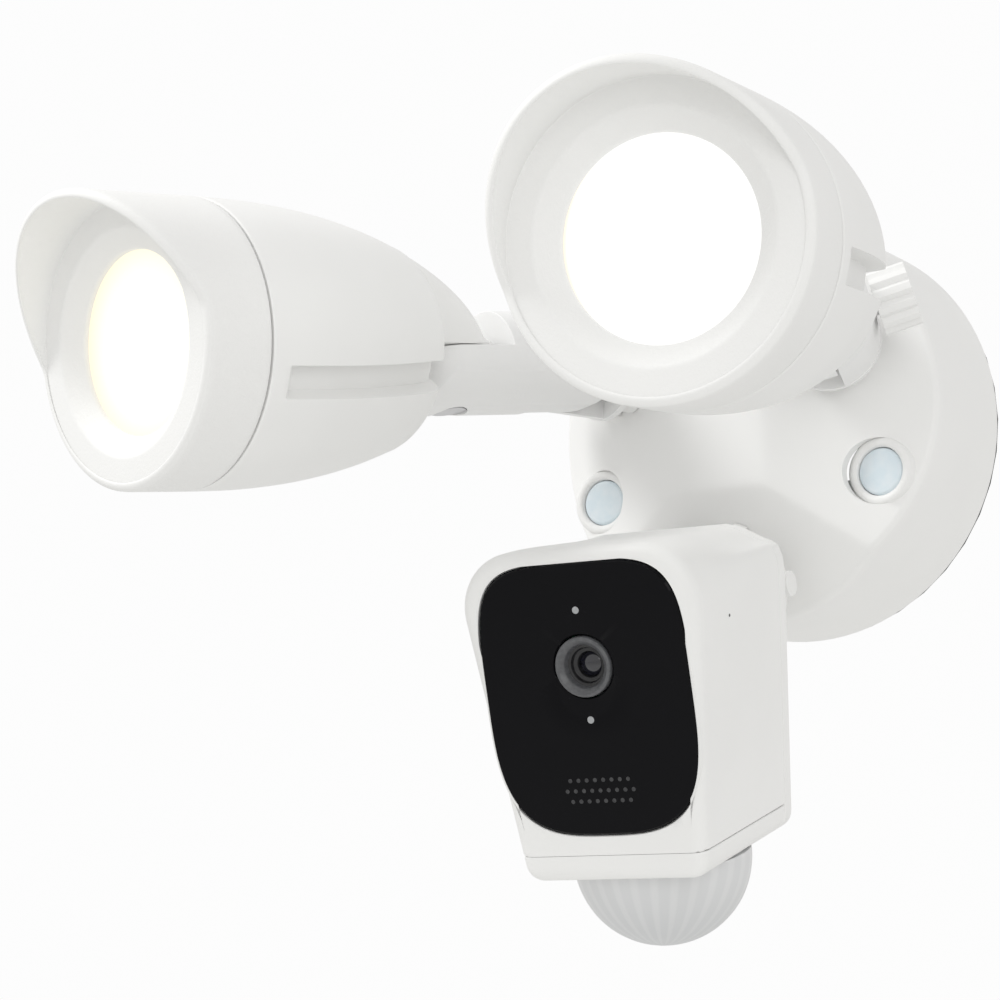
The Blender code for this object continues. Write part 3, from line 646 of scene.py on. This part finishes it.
def bezelGrid(place):
    # rings of (radius, y), with the lip's moved forward over the upper half:
    # y = face - slope * max(z - start, 0)
    look = bezelLook
    angle = np.arange(240) * 2 * np.pi / 240
    height = lampLook["outer"] * np.sin(angle) - look["lipFrom"]
    reach = look["lipSlope"] * 0.5 * (height + np.sqrt(height**2 + 0.0012**2))
    face, lens, outer = look["face"], look["lens"], lampLook["outer"]
    wall = look["faceOuter"]
    cone = [(lens, 0.0030), (lens, -0.0002), (look["coneOuter"], face), (wall - 0.0004, face)]
    rings = [(r, y) for r, y in softened(cone, 0.0008)]
    rings.append((wall, face - 0.02 * reach))
    visor = reach - 0.0004 * smooth(0, 0.004, reach)
    rings += [(wall + 0.0002 * share, face - visor * share) for share in np.linspace(0.06, 1.0, 12)]
    lip = 0.5 * (outer - wall) + 0.0001
    for turn in np.linspace(0, np.pi, 10)[1:-1]:
        width = np.cos(turn)
        along = face - reach - lip * 0.55 * np.sin(turn) + 0.0009 * (1 - width) / 2
        rings.append((outer - lip - lip * width * 0.9, along))
    end, start = lampLook["seam"], face - reach + 0.0018
    for share in np.linspace(0, 1, 16):
        rings.append((outer - 0.0001 + 0.0001 * share, start + (end - 0.0007 - start) * share))
    rings += [(outer - 0.0002, end - 0.0003), (outer - 0.0007, end), (0.0302, end)]
    rings += [(0.0300, 0.0054), (0.0275, 0.0052), (0.0273, 0.0030), (lens, 0.0030)]
    return place.at(np.stack([around(r, angle, y + 0 * angle) for r, y in rings]))


def lensGrid(place):
    # a shallow dome of frosted plastic
    r = np.linspace(0, 0.0268, 16)
    front = np.stack([r, 0.0002 + 0.0008 * (r / 0.0268) ** 2], axis=-1)
    return turned(place, np.concatenate([front, [(0.0268, 0.0028), (0.0, 0.0028)]]), 96)


def makeLamp(side):
    place, body = lampPlace(side), f"{side}_lamp"
    housing = meshPiece(f"{side}LampCasing", [housingGrid(place), tongueGrid(place)], "smoothWhite", 50)
    declare(housing, body, "housing_white", f"{side}_lamp_housing")
    bezel = meshPiece(f"{side}BezelAndVisor", [bezelGrid(place)], "grainedWhite", 45)
    declare(bezel, body, "housing_white", f"{side}_bezel_visor")
    lens = meshPiece(f"{side}FrostedLens", [lensGrid(place)], f"{side}Lens", 45)
    declare(lens, body, "lamp_lens", f"{side}_lamp_lens")
    softCopy(f"{side}_arm", f"{side}_arm", "stem_white", "coatedWhite", 0.0007)
    softCopy(f"{side}_stem", f"{side}_stem", "stem_white", "coatedWhite", 0.0005)
    softCopy(f"{side}_knob", f"{side}_knob", "fitting_white", "smoothWhite", 0.0005)
    softCopy(f"{side}_lock_ring", f"{side}_ring", "fitting_white", "smoothWhite", 0.0004)


for side in ("left", "right"):
    makeLamp(side)
print("lamps made")


unitLook = {
    "top": 0.0300, "bottom": -0.0555, "capLine": -0.0485, "halfAt": 0.0342, "flare": 0.115, "depth": 0.0520,
    "topRound": 0.0150, "footRound": 0.0050, "edge": 0.0034, "capGap": 0.00012, "wall": 0.0025,
    "seamRound": 0.0004, "crown": 0.0026, "cornerSink": 0.0055,
    "micBack": 0.0196, "micHeight": 0.0076,
}
glassLook = {
    "halfWidth": 0.0293, "halfHeight": 0.0350, "middle": -0.0083, "topPower": 4.3, "footPower": 3.2,
    "lensHole": 0.0082,
}


def halfWidth(z):
    return unitLook["halfAt"] + (z - 0.020) * unitLook["flare"]


def bodyLoop(low, high, lowRound, highRound, inset=0.0, flush=None):
    # the tapered outline; flush names the end, low or high, that stays in place when the rest moves inwards
    foot = low if flush == "low" else low + inset
    head = high if flush == "high" else high - inset
    atFoot, atHead = halfWidth(foot) - inset, halfWidth(head) - inset
    corners = ((-atFoot, foot), (atFoot, foot), (atHead, head), (-atHead, head))
    lowRound, highRound = (max(corner - inset, unitLook["seamRound"]) for corner in (lowRound, highRound))
    return roundLoop(corners, (lowRound, lowRound, highRound, highRound), 24)


def glassLoop(inset=0.0):
    # |x / a|^n + |z / b|^n = 1 about the panel's middle, with a squarer n above it than below
    look = glassLook
    turn = np.linspace(0, 2 * np.pi, 721)[:-1]
    share = 2 / np.where(np.sin(turn) > 0, look["topPower"], look["footPower"])
    x = (look["halfWidth"] - inset) * np.sign(np.cos(turn)) * abs(np.cos(turn)) ** share
    z = (look["halfHeight"] - inset) * np.sign(np.sin(turn)) * abs(np.sin(turn)) ** share
    return np.stack([x, look["middle"] + z], axis=-1)


def crowned(points):
    # towards the rear the unit's top sinks, and its upper corners more so
    look = unitLook
    x, y, z = points[..., 0], points[..., 1], points[..., 2]
    sink = look["crown"] + look["cornerSink"] * (abs(x) / look["halfAt"]) ** 4
    sink = sink * smooth(0.004, look["depth"], y) * smooth(0.65, 1.0, z / look["top"])
    return np.stack([x, y, z - sink], axis=-1)


def matched(loop, count=300):
    # the loop again with evenly spaced points, counted from straight above its middle
    closed = np.concatenate([loop, loop[:1]])
    run = np.concatenate([[0], np.cumsum(np.linalg.norm(np.diff(closed, axis=0), axis=1))])

    def pointAt(along):
        return np.stack([np.interp(along, run, closed[:, i]) for i in range(2)], axis=-1)

    fine = np.linspace(0, run[-1], 4000)
    points = pointAt(fine)
    first = fine[np.argmin(np.hypot(points[:, 0], points[:, 1] - 10))]
    return pointAt((first + np.arange(count) / count * run[-1]) % run[-1])


def frontRows():
    look = unitLook
    top, cap, edge = look["top"], look["capLine"], look["edge"]

    def loop(inset):
        return bodyLoop(cap, top, look["seamRound"], look["topRound"], inset, "low")

    rows = [(loop(look["wall"]), look["depth"])]
    rows += [(loop(0.0), y) for y in np.linspace(look["depth"], edge, 12)]
    for turn in np.linspace(0, np.pi / 2, 8)[1:]:
        rows.append((loop(edge * (1 - np.cos(turn))), edge * (1 - np.sin(turn))))
    return rows


def makeShell(place):
    look = unitLook
    rows = [(matched(loop), y) for loop, y in frontRows()]
    glass, inner = matched(glassLoop(-0.00025)), matched(glassLoop(0.0020))
    edge = rows[-1][0]
    for share in (0.3, 0.7, 0.97):
        rows.append((edge + (glass - edge) * share, 0.0))
    rows += [(glass, 0.0002), (glass, 0.0016), (inner, 0.0018), (inner, 0.0034)]
    back = matched(bodyLoop(look["capLine"], look["top"], look["seamRound"], look["topRound"], look["wall"]))
    rows += [(back, 0.0036)] + [(back, y) for y in np.linspace(0.008, look["depth"], 8)]
    shell = meshPiece("cameraShell", [stacked(place, rows)], "smoothWhite", 40)
    declare(shell, "camera_unit", "housing_white", "front_shell")


def makeCap(place):
    look = unitLook
    low, high, edge = look["bottom"], look["capLine"] - look["capGap"], look["edge"]

    def loop(inset):
        return bodyLoop(low, high, look["footRound"], look["seamRound"], inset, "high")

    middle = np.zeros_like(loop(0.0)) + np.array([0, 0.5 * (low + high)])
    rows = [(middle, look["depth"]), (loop(0.0006), look["depth"]), (loop(0.0), look["depth"] - 0.0006)]
    rows.append((loop(0.0), edge))
    for turn in np.linspace(0, np.pi / 2, 7)[1:]:
        rows.append((loop(edge * (1 - np.cos(turn))), edge * (1 - np.sin(turn))))
    rows.append((middle, 0.0))
    cap = meshPiece("bottomCapBand", [stacked(place, rows)], "smoothWhite", 40)
    declare(cap, "camera_unit", "housing_white", "bottom_cap")


def makeGlass(place):
    # a flat black panel with a soft border and a round window for the lens
    angle = np.pi / 2 + np.arange(300) * 2 * np.pi / 300
    hole = glassLook["lensHole"] * np.stack([np.cos(angle), np.sin(angle)], axis=-1)
    rim, near = matched(glassLoop()), matched(glassLoop(0.0005))
    rows = [(rim, 0.0012), (rim, 0.0003), (near, -0.0003)]
    rows += [(near + (hole - near) * share, -0.0003) for share in (0.3, 0.7, 0.985)]
    rows += [(hole, 0.0), (hole, 0.0012), (rim, 0.0012)]
    panel = meshPiece("blackFrontPanel", [stacked(place, rows)], "blackGloss", 40)
    declare(panel, "camera_unit", "front_black", "front_glass")


# ring, steps, barrelBack, dot and cup are profiles of (radius, y) about an axis out of the panel
opticsLook = {
    "ring": ((0.0050, 0.0030), (0.0056, 0.0002), (0.0070, -0.0011), (0.0077, -0.0009), (0.0079, 0.0),
             (0.0079, 0.003), (0.005, 0.003)),
    "steps": ((0.0056, 0.0016), (0.0046, 0.0018), (0.0044, 0.0030), (0.0034, 0.0032), (0.0032, 0.0046),
              (0.0, 0.0048)),
    "barrelBack": ((0.0, 0.0060), (0.0056, 0.0060), (0.0056, 0.0016)),
    "element": 0.0031, "elementFront": 0.0030, "elementBack": 0.0046, "crown": 0.0010,
    "dot": ((0, 0.0010), (0.0010, 0.0010), (0.0010, -0.0004), (0.0, -0.0006)),
    "sensorHeight": 0.0145, "statusHeight": -0.0136,
}
speakerLook = {
    "rows": (8, 9, 8), "across": 0.00235, "down": 0.0027, "top": -0.0290,
    "cup": ((0.00058, -0.0002), (0.00056, -0.00042), (0.00040, -0.00042), (0.00034, -0.00034),
            (0.0, -0.00031), (0.0, -0.0002), (0.00058, -0.0002)),
}
microphoneHole = ((0.0, 0.0003), (0.00042, 0.0003), (0.00042, -0.00005), (0.0, -0.00006))


def makeOptics(place):
    look = opticsLook
    ring = turned(place, softened(look["ring"], 0.0004), 96)
    declare(meshPiece("lensTrimRing", [ring], "ringGrey", 40), "camera_unit", "inner_black", "lens_ring")
    barrel = turned(place, np.concatenate([softened(look["steps"], 0.0002, 4), look["barrelBack"]]), 72)
    declare(meshPiece("lensBarrel", [barrel], "innerBlack", 30), "camera_unit", "inner_black")
    edge, back = look["element"], look["elementBack"]
    r = np.linspace(0, edge, 10)
    dome = np.stack([r, look["elementFront"] + look["crown"] * (r / edge) ** 2], axis=-1)
    element = turned(place, np.concatenate([dome, [(edge, back), (0, back)]]), 64)
    declare(meshPiece("lensElement", [element], "opticGlass", 40), "camera_unit", "lens_glass", "camera_lens")
    windows = (("lightSensorWindow", "sensorHeight", "light_sensor"),)
    windows += (("statusLightWindow", "statusHeight", "status_light"),)
    for name, height, nodeName in windows:
        dot = turned(place.shifted(0, 0, look[height]), softened(look["dot"], 0.0003), 32)
        declare(meshPiece(name, [dot], "sensorGrey", 45), "camera_unit", "dome_frost", nodeName)


def makeSoundHoles(place):
    look = speakerLook
    grids = []
    for row, count in enumerate(look["rows"]):
        for i in range(count):
            x = (i - (count - 1) / 2) * look["across"]
            grids.append(turned(place.shifted(x, 0, look["top"] - look["down"] * row), look["cup"], 10))
    declare(meshPiece("speakerHoles", grids, "speakerGrey", 40), "camera_unit", "inner_black")
    height = unitLook["micHeight"]
    spot = place.at(np.array([halfWidth(height), unitLook["micBack"], height]))
    outward = Place(spot, place.axes[1], -place.axes[0], place.axes[2])
    hole = meshPiece("microphoneHole", [turned(outward, microphoneHole, 16)], "speakerGrey", 40)
    declare(hole, "camera_unit", "inner_black")


def makeDome(place):
    # a ball's lower cap: its radius ripples in faint upright facets
    look = domeLook
    at = place.shifted(0, look["behind"], look["foot"])
    angle = np.arange(208) * 2 * np.pi / 208
    drop = np.linspace(0.0, np.pi / 2, 28)[:, None]
    ripple = 1 - 0.004 * np.abs(np.sin(angle * look["facets"] / 2)) * np.cos(drop)
    radius = look["radius"] * np.cos(drop) * ripple

    def ring(radius, height):
        x = radius * np.cos(angle)
        return np.stack([x, radius * np.sin(angle), height + 0 * x], axis=-1)

    skin = ring(radius, -look["radius"] * np.sin(drop))
    wall = (skin * look["wall"])[::-1]
    neck = [ring(look["neckInner"], look["neck"]), ring(look["neckOuter"], look["neck"])]
    grid = np.concatenate([wall, np.stack(neck + [ring(look["neckOuter"], 0.0)]), skin])
    dome = meshPiece("motionSensorDome", [at.at(grid)], "dome", 40)
    declare(dome, "camera_unit", "dome_frost", "motion_dome")


def makeCameraUnit():
    place = unitPlace()
    makeShell(place)
    makeCap(place)
    makeGlass(place)
    makeOptics(place)
    makeSoundHoles(place)
    makeDome(place)

    def sunk(point):
        return place.at(crowned(place.axes @ (point - place.origin)))

    softCopy("back_cover", "camera_unit", "housing_white", "smoothWhite", 0.0012, reshape=sunk)
    softCopy("camera_stem", "camera_stem", "stem_white", "coatedWhite", 0.0008)
    softCopy("tilt_bolt", "camera_stem", "fitting_white", "smoothWhite", 0.0005)
    softCopy("camera_lock_ring", "camera_ring", "fitting_white", "smoothWhite", 0.0004)


makeCameraUnit()
print("camera unit made")


slotFinish = {
    "housing_white": "smoothWhite", "fitting_white": "smoothWhite", "stem_white": "coatedWhite",
    "steel": "steel", "aluminium": "aluminium", "front_black": "blackGloss", "inner_black": "innerBlack",
    "rubber": "rubber", "lamp_lens": "leftLens", "dome_frost": "sensorGrey", "plug_blue": "plugBlue",
    "circuit_board": "board", "lens_glass": "opticGlass",
}
for subpart in frame["record"]["subparts"]:
    solid = frame["nodes"][subpart["node"]]
    for slot in solid.material_slots:
        slot.material = finishes[slotFinish[subpart["material_slot"]]]
print("designed solids finished")


view = {
    "azimuth": 33.68, "elevation": -10.13, "shiftX": 0.09275, "shiftY": 0.01728, "distance": 0.80757,
    "zoom": 2.71386, "sensor": 36.0,
}
az, el = np.radians(view["azimuth"]), np.radians(view["elevation"])
rightward = np.array([np.cos(az), np.sin(az), 0])
upward = np.array([-np.sin(az) * np.sin(el), np.cos(az) * np.sin(el), np.cos(el)])
backward = np.array([np.sin(az) * np.cos(el), -np.cos(az) * np.cos(el), np.sin(el)])
eye = -view["shiftX"] * rightward - view["shiftY"] * upward + view["distance"] * backward
lens = bpy.data.cameras.new("viewCamera")
lens.sensor_width = view["sensor"]
lens.lens = view["zoom"] * view["sensor"]
lens.clip_start = 0.01
viewCamera = bpy.data.objects.new("viewCamera", lens)
bpy.context.scene.collection.objects.link(viewCamera)
rotation = np.eye(4)
rotation[:3, 0], rotation[:3, 1], rotation[:3, 2], rotation[:3, 3] = rightward, upward, backward, eye
viewCamera.matrix_world = Matrix(rotation.tolist())
bpy.context.scene.camera = viewCamera

studio = {
    "floor": -0.75, "floorReach": 4, "world": 0.80, "air": (1.0, 0.995, 0.985, 1), "backdrop": 0.98,
}
reach = studio["floorReach"]
level = studio["floor"]
corners = [[(-reach, -reach, level), (reach, -reach, level)], [(-reach, reach, level), (reach, reach, level)]]
floor = meshPiece("studioFloor", [np.array(corners, float)], "smoothWhite", wrap=False)


def softLight(name, place, aim, size, power):
    lamp = bpy.data.lights.new(name, "AREA")
    lamp.shape, lamp.size, lamp.energy = "DISK", size, power
    obj = bpy.data.objects.new(name, lamp)
    bpy.context.scene.collection.objects.link(obj)
    obj.location = place
    direction = Vector(aim) - obj.location
    obj.rotation_euler = direction.to_track_quat("-Z", "Y").to_euler()


# each: place, size and power
lights = {"keyLight": ((-0.9, -0.8, 1.0), 0.6, 11.0), "fillLight": ((1.0, -1.1, 0.2), 0.9, 3.0)}
for name, (place, size, power) in lights.items():
    softLight(name, place, (0, -0.1, 0), size, power)
surround = bpy.data.worlds.new("studioAir")
surround.use_nodes = True
air = surround.node_tree
lit = node(air, "ShaderNodeBackground", None, {"Color": studio["air"], "Strength": studio["world"]})
seen = node(air, "ShaderNodeBackground", None, {"Color": (1, 1, 1, 1), "Strength": studio["backdrop"]})
mixed = node(air, "ShaderNodeMixShader", None, {0: node(air, "ShaderNodeLightPath"), 1: lit, 2: seen})
air.links.new(mixed.socket, air.nodes["World Output"].inputs["Surface"])
bpy.context.scene.world = surround
bpy.context.scene.view_settings.view_transform = "Standard"
print("studio made")
